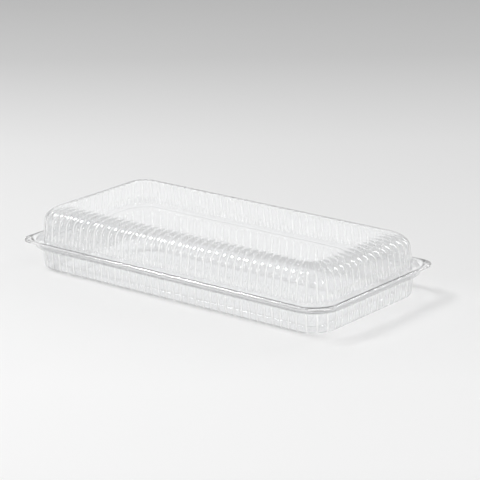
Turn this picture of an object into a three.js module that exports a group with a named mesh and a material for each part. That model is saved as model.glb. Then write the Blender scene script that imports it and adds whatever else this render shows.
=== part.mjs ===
// Hinged clear pastry container, thermoformed from one thin sheet.
// Millimetres, +Z up. Origin on the table under the middle of the box.
// X runs along the long side, and the hinge fold runs along the back, at +Y.
import * as THREE from "three";

// Sheet
const sheetThickness = 0.5;
const closingClearance = 0.3;

// Shoulder outline, where the lid's wall turns over into its crown
const shoulderLength = 369;
const shoulderWidth = 168;
const shoulderRadius = 25;
const shoulderHeight = 50;

// Lid
const crownHeight = 15.5;
const crownInset = 27;
const panelRadius = 9;
const lidFlare = 2.5;
const plugDepth = 4;

// Rim, where lid and base meet
const rimHeight = 30;
const flangeReach = 13.5;
const flangeRadius = 17;
const bandReach = 9.5;
const bandRadius = 31;
const bandDepth = 7;

// Base
const baseFlare = 3;
const footFlare = 1.5;
const footFillet = 4;
const footWidth = 12;
const floorRaise = 1.2;

// Flutes in the walls
const flutePitch = 9.7;
const fluteDepth = 1.2;
const fluteRunOut = 2.5;
const halfFluteHeight = 8.5;
const halfFluteShare = 0.7;

// Points across a flute: an even number on the lid, whose flutes split in two near the rim
const lidPointsPerFlute = 4;
const basePointsPerFlute = 3;

// Corner steps of the smooth outlines, and steps of the crown's curve
const smoothCornerSteps = 6;
const crownSteps = 3;

const quarterTurn = Math.PI / 2;

// An outline counts eight stretches round the rim: four straights and four corners
const wholeTurn = 8;

// Flutes on each long straight, each short straight and each corner
const fluteCounts = {
  long: Math.round((shoulderLength - 2 * shoulderRadius) / flutePitch),
  short: Math.round((shoulderWidth - 2 * shoulderRadius) / flutePitch),
  corner: Math.round((shoulderRadius * quarterTurn) / flutePitch),
};

// Steps round an outline: a fluted one follows the flutes, a crease outline has one step for
// each flute that ends on it, and a smooth one needs steps only in its corners
const creaseSteps = { ...fluteCounts, perFlute: 1 };
const lidSteps = stepsAlongFlutes(lidPointsPerFlute);
const baseSteps = stepsAlongFlutes(basePointsPerFlute);
const smoothSteps = { long: 1, short: 1, corner: smoothCornerSteps, perFlute: 1 };

function stepsAlongFlutes(perFlute) {
  return {
    long: fluteCounts.long * perFlute,
    short: fluteCounts.short * perFlute,
    corner: fluteCounts.corner * perFlute,
    perFlute,
  };
}

// How far a flute bulges, from 0 in the crease to 1 on its crest, at a share of its width
function bulge(share) {
  const across = 2 * (share % 1) - 1;
  return Math.sqrt(1 - across * across);
}

// One closed rounded outline, counter-clockwise from above, starting at the front left.
// A level has an outset from the shoulder outline, a height, a corner radius, a flute depth and
// the steps that it is drawn with. A halved level has two small flutes in place of each one.
// Each point knows its place round the outline, so that outlines with other steps can be joined.
function outline(level, normal) {
  const steps = level.steps;
  const halfLength = shoulderLength / 2 + level.outset;
  const halfWidth = shoulderWidth / 2 + level.outset;
  const straightX = halfLength - level.radius;
  const straightY = halfWidth - level.radius;
  const points = [];
  for (let side = 0; side < 4; side += 1) {
    const facing = (side - 1) * quarterTurn;
    const isLong = side % 2 === 0;
    const run = isLong ? straightX : straightY;
    const reach = isLong ? halfWidth : halfLength;
    const out = new THREE.Vector2(Math.cos(facing), Math.sin(facing));
    const along = new THREE.Vector2(-out.y, out.x);
    const count = isLong ? steps.long : steps.short;
    for (let step = 0; step < count; step += 1) {
      const place = out.clone().multiplyScalar(reach);
      place.addScaledVector(along, run * ((2 * step) / count - 1));
      points.push({ place, out, turn: 2 * side + step / count, step });
    }
    const centre = out.clone().multiplyScalar(reach - level.radius).addScaledVector(along, run);
    for (let step = 0; step < steps.corner; step += 1) {
      const angle = facing + (quarterTurn * step) / steps.corner;
      const radial = new THREE.Vector2(Math.cos(angle), Math.sin(angle));
      const place = centre.clone().addScaledVector(radial, level.radius);
      points.push({ place, out: radial, turn: 2 * side + 1 + step / steps.corner, step });
    }
  }
  return points.map(({ place, out, turn, step }) => {
    const share = step / level.steps.perFlute;
    const isHalved = level.halved === true;
    const push = level.flute * (isHalved ? halfFluteShare * bulge(2 * share) : bulge(share));
    const x = place.x + out.x * push * normal.x;
    const y = place.y + out.y * push * normal.x;
    const z = level.height + push * normal.y;
    return { x, y, z, turn };
  });
}

// The direction that faces out of the sheet at each level of a profile, scaled so that
// moving every level by it keeps the sheet's thickness on both sides of a corner
function miters(profile, side) {
  const facings = profile.slice(1).map((level, index) => {
    const before = profile[index];
    const run = new THREE.Vector2(level.outset - before.outset, level.height - before.height);
    run.normalize();
    return new THREE.Vector2(-run.y * side, run.x * side);
  });
  const up = new THREE.Vector2(0, side);
  return profile.map((level, index) => {
    const before = index === 0 ? up : facings[index - 1];
    const after = index === profile.length - 1 ? facings[index - 1] : facings[index];
    const miter = before.clone().add(after);
    return miter.multiplyScalar(2 / miter.lengthSq());
  });
}

// The same profile on the sheet's hidden face
function innerProfile(profile, normals) {
  return profile.map((level, index) => ({
    outset: level.outset - sheetThickness * normals[index].x,
    height: level.height - sheetThickness * normals[index].y,
    radius: level.radius - sheetThickness * normals[index].x,
    flute: level.flute,
    steps: level.steps,
    halved: level.halved,
  }));
}

// Triangles between two outlines, stepping along whichever lags behind round the rim
function joinOutlines(first, second, faces) {
  let a = 0;
  let b = 0;
  const turnAt = (ring, index) => (index < ring.length ? ring[index].turn : wholeTurn);
  const middle = (ring, index) => turnAt(ring, index) + turnAt(ring, index + 1);
  while (a < first.length || b < second.length) {
    const stepSecond = a >= first.length || (b < second.length && middle(second, b) <= middle(first, a));
    const here = first[a % first.length].id;
    const there = second[b % second.length].id;
    if (stepSecond) {
      faces.push([here, there, second[(b + 1) % second.length].id]);
      b += 1;
    } else {
      faces.push([here, there, first[(a + 1) % first.length].id]);
      a += 1;
    }
  }
}

// A formed sheet as one closed body. The profile runs from the middle panel's edge out to the rim.
// side is 1 where the listed face looks up, and -1 where it looks down.
function formedSheet(profile, side) {
  const normals = miters(profile, side);
  const hidden = innerProfile(profile, normals);
  const rings = [
    ...profile.map((level, index) => outline(level, normals[index])),
    ...hidden.map((level, index) => outline(level, normals[index])).reverse(),
  ];
  const corners = [];
  rings.forEach((ring) => {
    ring.forEach((point) => {
      point.id = corners.length / 3;
      corners.push(point.x, point.y, point.z);
    });
  });
  const faces = [];
  for (let index = 1; index < rings.length; index += 1) {
    joinOutlines(rings[index - 1], rings[index], faces);
  }
  const shown = rings[0];
  const under = rings[rings.length - 1];
  for (let index = 1; index < shown.length - 1; index += 1) {
    faces.push([shown[0].id, shown[index].id, shown[index + 1].id]);
    faces.push([under[0].id, under[index + 1].id, under[index].id]);
  }
  if (side < 0) {
    faces.forEach((face) => face.reverse());
  }
  const geometry = new THREE.BufferGeometry();
  geometry.setAttribute("position", new THREE.Float32BufferAttribute(corners, 3));
  geometry.setIndex(faces.flat());
  geometry.computeVertexNormals();
  return geometry;
}

// A level of a wall whose corners turn about the same centres as the shoulder's
function wallLevel(outset, height, flute, steps) {
  return { outset, height, radius: shoulderRadius + outset, flute, steps };
}

// A smooth level of the rim, with a corner radius of its own
function rimLevel(outset, height, radius) {
  return { outset, height, radius, flute: 0, steps: smoothSteps };
}

// Heights of the two flanges, which lie on each other with a small clearance
const baseFlangeUnderside = rimHeight - sheetThickness;
const lidFlangeTop = rimHeight + closingClearance + sheetThickness;

// The lid's plug drops inside the base's rim band
const plugInset = 2 * sheetThickness + closingClearance;
const plugReach = bandReach - plugInset;
const plugRadius = bandRadius - plugInset;

function lidProfile() {
  const crown = [];
  for (let step = 0; step <= crownSteps; step += 1) {
    const angle = quarterTurn * (1 - step / crownSteps);
    const outset = crownInset * (Math.cos(angle) - 1);
    const height = shoulderHeight + crownHeight * Math.sin(angle);
    const flute = fluteDepth * Math.cos(angle);
    const isPanelEdge = step === 0;
    const level = wallLevel(outset, height, isPanelEdge ? 0 : flute, isPanelEdge ? creaseSteps : lidSteps);
    level.radius = shoulderRadius + ((shoulderRadius - panelRadius) * outset) / crownInset;
    crown.push(level);
  }
  const wallHeight = shoulderHeight - lidFlangeTop;
  const wallAbove = (rise) => {
    return wallLevel(lidFlare * (1 - rise / wallHeight), lidFlangeTop + rise, fluteDepth, lidSteps);
  };
  return [
    ...crown,
    wallAbove(halfFluteHeight),
    { ...wallAbove(fluteRunOut), halved: true },
    wallLevel(lidFlare, lidFlangeTop, 0, creaseSteps),
    wallLevel(lidFlare, lidFlangeTop - plugDepth, 0, smoothSteps),
    rimLevel(plugReach, lidFlangeTop - plugDepth, plugRadius),
    rimLevel(plugReach, lidFlangeTop, plugRadius),
    rimLevel(flangeReach, lidFlangeTop, flangeRadius),
  ];
}

function baseProfile() {
  const bandBottom = rimHeight - bandDepth;
  const wallHeight = bandBottom - footFillet;
  const wallOutset = (height) => footFlare + ((baseFlare - footFlare) * (height - footFillet)) / wallHeight;
  const fluteTop = bandBottom - fluteRunOut;
  const footOutset = footFlare - footFillet;
  const filletStep = footFillet * (1 - Math.SQRT1_2);
  return [
    wallLevel(footOutset - footWidth - floorRaise, floorRaise, 0, smoothSteps),
    wallLevel(footOutset - footWidth, 0, 0, smoothSteps),
    wallLevel(footOutset, 0, 0, creaseSteps),
    wallLevel(footFlare - filletStep, filletStep, fluteDepth / 2, baseSteps),
    wallLevel(footFlare, footFillet, fluteDepth, baseSteps),
    wallLevel(wallOutset(fluteTop), fluteTop, fluteDepth, baseSteps),
    wallLevel(baseFlare, bandBottom, 0, creaseSteps),
    rimLevel(bandReach, bandBottom, bandRadius),
    rimLevel(bandReach, baseFlangeUnderside, bandRadius),
    rimLevel(flangeReach, baseFlangeUnderside, flangeRadius),
  ];
}

function clearPlastic() {
  return new THREE.MeshStandardMaterial({
    color: 0xf2f5f6,
    roughness: 0.06,
    metalness: 0,
    transparent: true,
    opacity: 0.35,
  });
}

function makeShell(name, profile, side) {
  const mesh = new THREE.Mesh(formedSheet(profile, side), clearPlastic());
  mesh.name = name;
  return mesh;
}

const container = new THREE.Group();
container.name = "pastry_container";
container.add(makeShell("lid_dome", lidProfile(), 1));
container.add(makeShell("base_tray", baseProfile(), -1));

export default container;
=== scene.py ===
# Clear hinged pastry container, closed, on a plain pale floor
import math
import bpy
import numpy as np
from mathutils import Matrix, Vector


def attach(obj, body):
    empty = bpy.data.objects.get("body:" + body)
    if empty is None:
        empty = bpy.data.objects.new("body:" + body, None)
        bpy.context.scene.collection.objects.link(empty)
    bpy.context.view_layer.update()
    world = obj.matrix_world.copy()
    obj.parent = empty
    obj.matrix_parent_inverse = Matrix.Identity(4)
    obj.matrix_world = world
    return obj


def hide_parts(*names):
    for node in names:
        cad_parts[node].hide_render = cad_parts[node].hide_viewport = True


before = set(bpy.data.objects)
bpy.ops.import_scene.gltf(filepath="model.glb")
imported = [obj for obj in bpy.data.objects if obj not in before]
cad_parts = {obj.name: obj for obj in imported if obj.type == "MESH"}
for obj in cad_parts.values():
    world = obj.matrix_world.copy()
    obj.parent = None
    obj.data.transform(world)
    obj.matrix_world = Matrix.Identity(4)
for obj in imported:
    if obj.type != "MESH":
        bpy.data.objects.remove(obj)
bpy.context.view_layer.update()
scene = bpy.context.scene
scene.view_settings.view_transform = "Standard"

# Sizes in metres, the same as the solids'
SHEET = 0.0005
CLEARANCE = 0.0003
SHOULDER_LENGTH = 0.369
SHOULDER_WIDTH = 0.168
SHOULDER_RADIUS = 0.025
SHOULDER_HEIGHT = 0.050
CROWN_HEIGHT = 0.0155
CROWN_INSET = 0.027
PANEL_RADIUS = 0.009
LID_FLARE = 0.0025
PLUG_DEPTH = 0.004
RIM_HEIGHT = 0.030
FLANGE_REACH = 0.0135
FLANGE_RADIUS = 0.017
BAND_REACH = 0.0095
BAND_RADIUS = 0.031
BAND_DEPTH = 0.007
BASE_FLARE = 0.003
FOOT_FLARE = 0.0015
FOOT_FILLET = 0.004
FOOT_WIDTH = 0.012
FLOOR_RAISE = 0.0012
FLUTE_PITCH = 0.0097
FLUTE_DEPTH = 0.0012
FLUTE_RUN_OUT = 0.0025
HALF_FLUTE_HEIGHT = 0.0085
HALF_FLUTE_SHARE = 0.7

# A flute turns into two half ones from this far above their height to as far below it
SPLIT_LENGTH = 0.0015

# Power by which the flutes fade over the crown
FLUTE_FADE = 1.1

# Close to its end, with this share of the run-out still to go, a flute keeps these shares of its depth
RUN_OUT_LEFT = 0.4
LID_DEPTH_LEFT = 0.6
BASE_DEPTH_LEFT = 0.75

# A bend takes this length of the sheet on each side, or this share of a shorter straight
BEND = 0.0009
BEND_SHARE = 0.45

# Flat border of the raised floor, which its bend needs
FLOOR_BORDER = 0.002

# Drawing steps of the fine meshes
SIDES = 4
POINTS_PER_FLUTE = 8
CROWN_STEPS = 12
LID_WALL_STEPS = 4
SPLIT_STEPS = 3
HALF_FLUTE_STEPS = 2
FILLET_STEPS = 6
BASE_WALL_STEPS = 4
BEND_STEPS = 3
QUARTER = math.pi / 2

# Clear plastic: its tint and gloss vary in soft clouds, and a ripple runs over it
IOR = 1.5
DARK_TINT = (0.90, 0.905, 0.91, 1)
PALE_TINT = (0.925, 0.928, 0.932, 1)
WHITE = (1, 1, 1, 1)
LEAST_ROUGHNESS = 0.008
LID_ROUGHNESS = 0.03
BASE_ROUGHNESS = 0.04
CLOUD_SCALE = 18
CLOUD_DETAIL = 3
LID_RIPPLE_SCALE = 30
BASE_RIPPLE_SCALE = 26
RIPPLE_DETAIL = 2
RIPPLE_STRENGTH = 0.06
RIPPLE_HEIGHT = 0.0004

# Painted highlight: the creases are painted white, partly as forming whitens them and mostly to stand in
# for the highlight lines along the flutes; the power that narrows the white, and how clear the creases
# stay
CREASE_HIGHLIGHT_POWER = 2
CREASE_HIGHLIGHT_CLEARNESS = 0.4

# Share of the light that each face of the sheet stops, for shadows and for light off the floor
SHADOW_SHARE = 0.08

# A ray that has met this many faces passes the rest of them, or the sheet's edge would catch it
FACES_SEEN = 5

# Floor: its reach and its place just under the foot
FLOOR_REACH = 6.0
FLOOR_DROP = 0.0002
FLOOR_ROUGHNESS = 0.9
FLOOR_SPECULAR = 0.1

# Painted shade on the floor, standing in for the light's falloff: its greys by distance beyond the
# container's middle, seen along this azimuth in degrees
FLOOR_AZIMUTH = 39
FLOOR_FRONT = -2.0
FLOOR_BACK = 1.8
FLOOR_SHADE_GREYS = [
    (FLOOR_FRONT, 0.50),
    (-1.0, 0.72),
    (-0.5, 0.88),
    (-0.3, 0.87),
    (0, 0.79),
    (0.54, 0.69),
    (1.04, 0.52),
    (FLOOR_BACK, 0.42),
]

# Lights: name, place, width and height, and power in watts
LIGHTS = [
    ("key_softbox", (-1.56, -0.54, 2.04), (0.36, 0.36), 36),
    ("back_card", (-1.7, 2.1, 1.0), (2.6, 1.2), 7),
    ("back_strip", (0.5, 2.2, 1.1), (0.12, 1.4), 9),
    ("left_strip", (-1.8, -1.5, 0.5), (0.2, 1.0), 2.5),
    ("front_strip", (0.15, -2.3, 0.5), (0.2, 1.0), 5),
    ("right_strip", (2.1, -0.5, 0.5), (0.2, 1.0), 12),
]
LIGHT_TARGET = (0, 0, 0.04)
WORLD_STRENGTH = 0.50

# Camera: angles in degrees, distance and shift in metres, focal length in pixels of the photo
CAMERA_AZIMUTH = 38.992
CAMERA_ELEVATION = 17.267
CAMERA_ROLL = -0.750
CAMERA_DISTANCE = 2.338
CAMERA_FOCAL_PIXELS = 2287
CAMERA_SHIFT = (0.016965, -0.007626)
PHOTO_PIXELS = 480
SENSOR_WIDTH = 36


class Level:
    """One level of a profile: outset from the shoulder outline, height, corner radius, flutes."""

    def __init__(self, outset, height, radius=None, flute=0.0, halves=0.0, sharp=False):
        self.outset = outset
        self.height = height
        self.radius = SHOULDER_RADIUS + outset if radius is None else radius
        self.flute = flute
        self.halves = halves
        self.sharp = sharp


def mix(a, b, t):
    """The level a share t of the way from a to b."""
    def blend(name):
        return getattr(a, name) * (1 - t) + getattr(b, name) * t
    return Level(blend("outset"), blend("height"), blend("radius"), blend("flute"), blend("halves"))


def spread(a, b, count):
    """Levels evenly placed after a and before b."""
    return [mix(a, b, (step + 1) / (count + 1)) for step in range(count)]


def rounded(levels):
    """The same profile with each sharp bend replaced by a short curve."""
    result = [levels[0]]
    for before, here, after in zip(levels, levels[1:], levels[2:]):
        if not here.sharp:
            result.append(here)
            continue
        lead = math.hypot(here.outset - before.outset, here.height - before.height)
        tail = math.hypot(after.outset - here.outset, after.height - here.height)
        cut = min(BEND, lead * BEND_SHARE, tail * BEND_SHARE)
        start = mix(here, before, cut / lead)
        end = mix(here, after, cut / tail)
        for step in range(BEND_STEPS + 1):
            t = step / BEND_STEPS
            result.append(mix(mix(start, here, t), mix(here, end, t), t))
    result.append(levels[-1])
    return result


def crown_levels():
    """The lid's curve from the flat top panel's edge down to the shoulder."""
    levels = []
    for step in range(CROWN_STEPS + 1):
        angle = QUARTER * (1 - step / CROWN_STEPS)
        outset = CROWN_INSET * (math.cos(angle) - 1)
        height = SHOULDER_HEIGHT + CROWN_HEIGHT * math.sin(angle)
        radius = SHOULDER_RADIUS + (SHOULDER_RADIUS - PANEL_RADIUS) * outset / CROWN_INSET
        flute = 0 if step == 0 else FLUTE_DEPTH * math.cos(angle) ** FLUTE_FADE
        levels.append(Level(outset, height, radius, flute))
    return levels


def lid_levels():
    """The lid's profile from the top panel out to the flange."""
    flange_top = RIM_HEIGHT + CLEARANCE + SHEET
    wall_height = SHOULDER_HEIGHT - flange_top

    def wall(height, flute, halves):
        share = (SHOULDER_HEIGHT - height) / wall_height
        return Level(LID_FLARE * share, height, flute=flute, halves=halves)
    whole_flutes_end = wall(flange_top + HALF_FLUTE_HEIGHT + SPLIT_LENGTH, FLUTE_DEPTH, 0)
    half_flutes_start = wall(flange_top + HALF_FLUTE_HEIGHT - SPLIT_LENGTH, FLUTE_DEPTH, 1)
    half_flutes_end = wall(flange_top + FLUTE_RUN_OUT, FLUTE_DEPTH, 1)
    levels = crown_levels()
    levels += spread(levels[-1], whole_flutes_end, LID_WALL_STEPS)
    levels.append(whole_flutes_end)
    levels += spread(whole_flutes_end, half_flutes_start, SPLIT_STEPS)
    levels.append(half_flutes_start)
    levels += spread(half_flutes_start, half_flutes_end, HALF_FLUTE_STEPS)
    levels.append(half_flutes_end)
    levels.append(wall(flange_top + FLUTE_RUN_OUT * RUN_OUT_LEFT, FLUTE_DEPTH * LID_DEPTH_LEFT, 1))
    levels.append(Level(LID_FLARE, flange_top, halves=1))
    plug_inset = 2 * SHEET + CLEARANCE
    plug_reach = BAND_REACH - plug_inset
    plug_radius = BAND_RADIUS - plug_inset
    levels.append(Level(LID_FLARE, flange_top - PLUG_DEPTH, sharp=True))
    levels.append(Level(plug_reach, flange_top - PLUG_DEPTH, plug_radius, sharp=True))
    levels.append(Level(plug_reach, flange_top, plug_radius, sharp=True))
    levels.append(Level(FLANGE_REACH, flange_top, FLANGE_RADIUS))
    return rounded(levels)


def base_levels():
    """The base's profile from the raised floor out to the flange."""
    underside = RIM_HEIGHT - SHEET
    band_bottom = RIM_HEIGHT - BAND_DEPTH
    foot = FOOT_FLARE - FOOT_FILLET
    levels = [Level(foot - FOOT_WIDTH - FLOOR_RAISE - FLOOR_BORDER, FLOOR_RAISE)]
    levels.append(Level(foot - FOOT_WIDTH - FLOOR_RAISE, FLOOR_RAISE, sharp=True))
    levels.append(Level(foot - FOOT_WIDTH, 0, sharp=True))
    levels.append(Level(foot, 0))
    for step in range(1, FILLET_STEPS + 1):
        angle = QUARTER * step / FILLET_STEPS
        outset = foot + FOOT_FILLET * math.sin(angle)
        height = FOOT_FILLET * (1 - math.cos(angle))
        levels.append(Level(outset, height, flute=FLUTE_DEPTH * math.sin(angle) ** 2))
    rise = band_bottom - FOOT_FILLET

    def wall(height, flute):
        outset = FOOT_FLARE + (BASE_FLARE - FOOT_FLARE) * (height - FOOT_FILLET) / rise
        return Level(outset, height, flute=flute)
    fluted_top = wall(band_bottom - FLUTE_RUN_OUT, FLUTE_DEPTH)
    levels += spread(levels[-1], fluted_top, BASE_WALL_STEPS)
    levels.append(fluted_top)
    levels.append(wall(band_bottom - FLUTE_RUN_OUT * RUN_OUT_LEFT, FLUTE_DEPTH * BASE_DEPTH_LEFT))
    levels.append(Level(BASE_FLARE, band_bottom))
    levels.append(Level(BAND_REACH, band_bottom, BAND_RADIUS, sharp=True))
    levels.append(Level(BAND_REACH, underside, BAND_RADIUS, sharp=True))
    levels.append(Level(FLANGE_REACH, underside, FLANGE_RADIUS))
    return rounded(levels)


def flute_counts():
    """Flutes on each long side, each short side and each corner."""
    long_run = SHOULDER_LENGTH - 2 * SHOULDER_RADIUS
    short_run = SHOULDER_WIDTH - 2 * SHOULDER_RADIUS
    corner_run = SHOULDER_RADIUS * QUARTER
    return [round(run / FLUTE_PITCH) for run in (long_run, short_run, corner_run)]


def outline(outset, radius):
    """Points of a rounded outline, their outward directions and their place across a flute."""
    long_count, short_count, corner_count = flute_counts()
    half = (SHOULDER_LENGTH / 2 + outset, SHOULDER_WIDTH / 2 + outset)
    places, outs, phases = [], [], []
    for side in range(SIDES):
        facing = (side - 1) * QUARTER
        is_long = side % 2 == 0
        run = half[0 if is_long else 1] - radius
        reach = half[1 if is_long else 0]
        out = np.array([math.cos(facing), math.sin(facing)])
        along = np.array([-out[1], out[0]])
        steps = (long_count if is_long else short_count) * POINTS_PER_FLUTE
        for step in range(steps):
            places.append(out * reach + along * run * (2 * step / steps - 1))
            outs.append(out)
            phases.append(step % POINTS_PER_FLUTE / POINTS_PER_FLUTE)
        centre = out * (reach - radius) + along * run
        steps = corner_count * POINTS_PER_FLUTE
        for step in range(steps):
            angle = facing + QUARTER * step / steps
            radial = np.array([math.cos(angle), math.sin(angle)])
            places.append(centre + radial * radius)
            outs.append(radial)
            phases.append(step % POINTS_PER_FLUTE / POINTS_PER_FLUTE)
    return np.array(places), np.array(outs), np.array(phases)


def bulge(phase, halves):
    """Round flute between narrow creases. halves blends from one flute to two half ones."""
    whole = np.sqrt(np.clip(1 - (2 * phase - 1) ** 2, 0, 1))
    half_phase = (phase * 2) % 1
    pair = np.sqrt(np.clip(1 - (2 * half_phase - 1) ** 2, 0, 1))
    return whole * (1 - halves) + pair * HALF_FLUTE_SHARE * halves


def level_normals(levels, side):
    """Directions out of the sheet at each level, scaled to keep its thickness at bends."""
    runs = [np.array([b.outset - a.outset, b.height - a.height]) for a, b in zip(levels, levels[1:])]
    facings = [np.array([-run[1], run[0]]) * side / np.linalg.norm(run) for run in runs]
    up = np.array([0.0, side])
    befores = [up] + facings
    afters = facings + [facings[-1]]
    miters = [before + after for before, after in zip(befores, afters)]
    return [miter * 2 / np.dot(miter, miter) for miter in miters]


def face_rings(levels, normals, depth):
    """Rings of points, one for each level, at a depth in the sheet, and how deep in a crease each is."""
    rings, creases = [], []
    for level, normal in zip(levels, normals):
        places, outs, phases = outline(level.outset - depth * normal[0], level.radius - depth * normal[0])
        crest = bulge(phases, level.halves)
        push = level.flute * crest
        height = level.height - depth * normal[1]
        xy = places + outs * (push * normal[0])[:, None]
        rings.append(np.column_stack([xy, height + push * normal[1]]))
        creases.append((1 - crest) * level.flute / FLUTE_DEPTH)
    return rings, creases


def joined_faces(ring_count, count):
    """Faces between rings of count points each, and one face that closes each end."""
    here = np.arange(count)
    after = (here + 1) % count
    faces = []
    for index in range(ring_count - 1):
        low, high = index * count, (index + 1) * count
        quads = np.column_stack([low + here, high + here, high + after, low + after])
        faces += quads.tolist()
    faces.append(here.tolist())
    last = (ring_count - 1) * count
    faces.append((last + here[::-1]).tolist())
    return faces


def shell_mesh(name, levels, side):
    """A formed sheet with both faces, as one closed mesh that knows where its creases are.

    side is 1 where the listed face looks up, and -1 where it looks down.
    """
    normals = level_normals(levels, side)
    shown_rings, shown_creases = face_rings(levels, normals, 0.0)
    hidden_rings, hidden_creases = face_rings(levels, normals, SHEET)
    rings = shown_rings + hidden_rings[::-1]
    creases = shown_creases + hidden_creases[::-1]
    faces = joined_faces(len(rings), len(rings[0]))
    if side < 0:
        faces = [face[::-1] for face in faces]
    mesh = bpy.data.meshes.new(name)
    mesh.from_pydata(np.concatenate(rings).tolist(), [], faces)
    mesh.update()
    mesh.polygons.foreach_set("use_smooth", [len(face) == 4 for face in faces])
    crease = mesh.attributes.new("crease", "FLOAT", "POINT")
    crease.data.foreach_set("value", np.clip(np.concatenate(creases), 0, 1))
    return mesh


def add_object(name, mesh, material):
    """An object at the origin, whose place is in its mesh."""
    piece = bpy.data.objects.new(name, mesh)
    scene.collection.objects.link(piece)
    piece.data.materials.append(material)
    return piece


def new_material(name):
    """A material with its nodes, its links and its Principled shader."""
    material = bpy.data.materials.new(name)
    material.use_nodes = True
    tree = material.node_tree
    return material, tree.nodes, tree.links, tree.nodes["Principled BSDF"]


def add_node(nodes, kind, values):
    """A shader node with the values of some of its sockets."""
    node = nodes.new(kind)
    for socket, value in values.items():
        node.inputs[socket].default_value = value
    return node


def add_math(nodes, operation, values):
    """A Math node with the values of some of its sockets."""
    node = add_node(nodes, "ShaderNodeMath", values)
    node.operation = operation
    return node


def add_uneven_gloss(nodes, links, shader, roughness):
    """Soft clouds of roughness over the sheet. Returns the clouds, which also tint it."""
    coords = nodes.new("ShaderNodeTexCoord")
    cloud = add_node(nodes, "ShaderNodeTexNoise", {"Scale": CLOUD_SCALE, "Detail": CLOUD_DETAIL})
    gloss = add_node(nodes, "ShaderNodeMapRange", {"To Min": LEAST_ROUGHNESS, "To Max": roughness})
    links.new(coords.outputs["Object"], cloud.inputs["Vector"])
    links.new(cloud.outputs["Fac"], gloss.inputs["Value"])
    links.new(gloss.outputs["Result"], shader.inputs["Roughness"])
    return cloud


def add_ripple(nodes, links, shader, ripple_scale):
    """A faint ripple from forming."""
    coords = nodes.new("ShaderNodeTexCoord")
    ripple = add_node(nodes, "ShaderNodeTexNoise", {"Scale": ripple_scale, "Detail": RIPPLE_DETAIL})
    bump = add_node(nodes, "ShaderNodeBump", {"Strength": RIPPLE_STRENGTH, "Distance": RIPPLE_HEIGHT})
    links.new(coords.outputs["Object"], ripple.inputs["Vector"])
    links.new(ripple.outputs["Fac"], bump.inputs["Height"])
    links.new(bump.outputs["Normal"], shader.inputs["Normal"])


def add_painted_crease_highlights(nodes, links, shader, cloud):
    """A faint tint that turns white in the creases as a painted highlight, where the sheet is also less
    clear.
    """
    tint = add_node(nodes, "ShaderNodeMixRGB", {"Color1": DARK_TINT, "Color2": PALE_TINT})
    crease = nodes.new("ShaderNodeAttribute")
    crease.attribute_name = "crease"
    crease_highlight_mask = add_math(nodes, "POWER", {1: CREASE_HIGHLIGHT_POWER})
    # Painted highlight: white mixed into the tint along the creases, with less transmission there
    crease_highlight = add_node(nodes, "ShaderNodeMixRGB", {"Color2": WHITE})
    clearness = add_node(nodes, "ShaderNodeMapRange", {"To Min": 1, "To Max": CREASE_HIGHLIGHT_CLEARNESS})
    links.new(cloud.outputs["Fac"], tint.inputs["Fac"])
    links.new(crease.outputs["Fac"], crease_highlight_mask.inputs[0])
    links.new(crease_highlight_mask.outputs["Value"], crease_highlight.inputs["Fac"])
    links.new(tint.outputs["Color"], crease_highlight.inputs["Color1"])
    links.new(crease_highlight.outputs["Color"], shader.inputs["Base Color"])
    links.new(crease_highlight_mask.outputs["Value"], clearness.inputs["Value"])
    links.new(clearness.outputs["Result"], shader.inputs["Transmission Weight"])


def let_light_through(nodes, links, shader):
    """Lets the lamps and the floor's light pass the sheet, and rays leave its edge."""
    rays = nodes.new("ShaderNodeLightPath")
    lighting = add_math(nodes, "MAXIMUM", {})
    shadow = add_node(nodes, "ShaderNodeMapRange", {"To Min": 1, "To Max": SHADOW_SHARE})
    trapped = add_math(nodes, "LESS_THAN", {1: FACES_SEEN})
    alpha = add_math(nodes, "MULTIPLY", {})
    links.new(rays.outputs["Is Shadow Ray"], lighting.inputs[0])
    links.new(rays.outputs["Is Diffuse Ray"], lighting.inputs[1])
    links.new(lighting.outputs["Value"], shadow.inputs["Value"])
    links.new(rays.outputs["Ray Depth"], trapped.inputs[0])
    links.new(shadow.outputs["Result"], alpha.inputs[0])
    links.new(trapped.outputs["Value"], alpha.inputs[1])
    links.new(alpha.outputs["Value"], shader.inputs["Alpha"])


def clear_plastic(name, ripple_scale, roughness):
    """Clear glossy sheet with a faint ripple, uneven gloss and creases painted white as highlights."""
    material, nodes, links, shader = new_material(name)
    shader.inputs["IOR"].default_value = IOR
    cloud = add_uneven_gloss(nodes, links, shader, roughness)
    add_ripple(nodes, links, shader, ripple_scale)
    add_painted_crease_highlights(nodes, links, shader, cloud)
    let_light_through(nodes, links, shader)
    return material


def add_container():
    """The lid and the base in place of the solids."""
    lid_plastic = clear_plastic("lid_plastic", LID_RIPPLE_SCALE, LID_ROUGHNESS)
    base_plastic = clear_plastic("base_plastic", BASE_RIPPLE_SCALE, BASE_ROUGHNESS)
    lid = add_object("lid_shell", shell_mesh("lid_shell", lid_levels(), 1), lid_plastic)
    base = add_object("base_shell", shell_mesh("base_shell", base_levels(), -1), base_plastic)
    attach(lid, "lid")
    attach(base, "base")
    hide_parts("lid_dome")
    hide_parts("base_tray")


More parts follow.
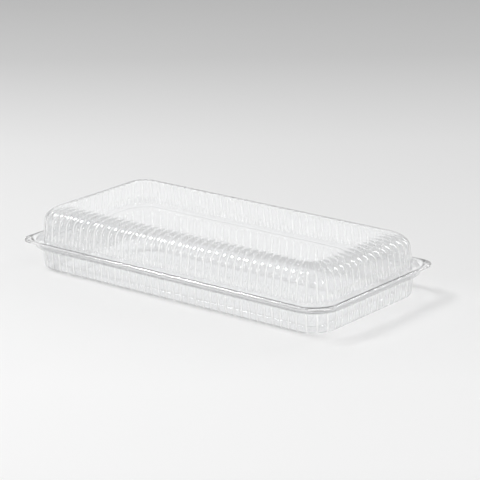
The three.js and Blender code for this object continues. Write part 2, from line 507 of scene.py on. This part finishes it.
def floor_material():
    """Pale grey with painted shade, darker away from the container."""
    material, nodes, links, shader = new_material("pale_floor")
    shader.inputs["Roughness"].default_value = FLOOR_ROUGHNESS
    shader.inputs["Specular IOR Level"].default_value = FLOOR_SPECULAR
    coords = nodes.new("ShaderNodeTexCoord")
    turn = add_node(nodes, "ShaderNodeMapping", {"Rotation": (0, 0, -math.radians(FLOOR_AZIMUTH))})
    split = nodes.new("ShaderNodeSeparateXYZ")
    depth = add_node(nodes, "ShaderNodeMapRange", {"From Min": FLOOR_FRONT, "From Max": FLOOR_BACK})
    # Painted shade: the floor's grey falls off with distance as the light would
    shade = nodes.new("ShaderNodeValToRGB")
    stops = shade.color_ramp.elements
    for place, _ in FLOOR_SHADE_GREYS[1:-1]:
        stops.new((place - FLOOR_FRONT) / (FLOOR_BACK - FLOOR_FRONT))
    for stop, (_, grey) in zip(stops, FLOOR_SHADE_GREYS):
        stop.color = (grey, grey, grey, 1)
    links.new(coords.outputs["Object"], turn.inputs["Vector"])
    links.new(turn.outputs["Vector"], split.inputs["Vector"])
    links.new(split.outputs["Y"], depth.inputs["Value"])
    links.new(depth.outputs["Result"], shade.inputs["Fac"])
    links.new(shade.outputs["Color"], shader.inputs["Base Color"])
    return material


def add_floor():
    """One flat square under the container."""
    mesh = bpy.data.meshes.new("floor")
    signs = [(-1, -1), (1, -1), (1, 1), (-1, 1)]
    corners = [(x * FLOOR_REACH, y * FLOOR_REACH, -FLOOR_DROP) for x, y in signs]
    mesh.from_pydata(corners, [], [(0, 1, 2, 3)])
    floor = add_object("floor", mesh, floor_material())


def add_light(name, place, size, energy):
    """A rectangular light that faces the container."""
    data = bpy.data.lights.new(name, "AREA")
    data.shape = "RECTANGLE"
    data.size, data.size_y = size
    data.energy = energy
    light = bpy.data.objects.new(name, data)
    light.location = place
    aim = Vector(LIGHT_TARGET) - Vector(place)
    light.rotation_euler = aim.to_track_quat("-Z", "Y").to_euler()
    scene.collection.objects.link(light)


def add_lights():
    """The studio lights and a white world."""
    for name, place, size, energy in LIGHTS:
        add_light(name, place, size, energy)
    world = bpy.data.worlds.new("studio")
    scene.world = world
    world.use_nodes = True
    background = world.node_tree.nodes["Background"]
    background.inputs["Color"].default_value = WHITE
    background.inputs["Strength"].default_value = WORLD_STRENGTH


def add_camera():
    """The camera looks along one direction from a point moved sideways across its own view."""
    azimuth = math.radians(CAMERA_AZIMUTH)
    elevation = math.radians(CAMERA_ELEVATION)
    roll = math.radians(CAMERA_ROLL)
    level_reach = math.cos(elevation)
    back = Vector((math.sin(azimuth) * level_reach, -math.cos(azimuth) * level_reach, math.sin(elevation)))
    right = Vector((math.cos(azimuth), math.sin(azimuth), 0))
    up = back.cross(right)
    turned_right = right * math.cos(roll) + up * math.sin(roll)
    turned_up = up * math.cos(roll) - right * math.sin(roll)
    sideways = turned_right * CAMERA_SHIFT[0] + turned_up * CAMERA_SHIFT[1]
    place = Vector((0, 0, SHOULDER_HEIGHT)) + back * CAMERA_DISTANCE + sideways
    data = bpy.data.cameras.new("camera")
    data.sensor_width = SENSOR_WIDTH
    data.lens = SENSOR_WIDTH * CAMERA_FOCAL_PIXELS / PHOTO_PIXELS
    camera = bpy.data.objects.new("camera", data)
    turn = Matrix((turned_right, turned_up, back)).transposed().to_4x4()
    camera.matrix_world = Matrix.Translation(place) @ turn
    scene.collection.objects.link(camera)
    scene.camera = camera


add_camera()
add_container()
add_floor()
add_lights()
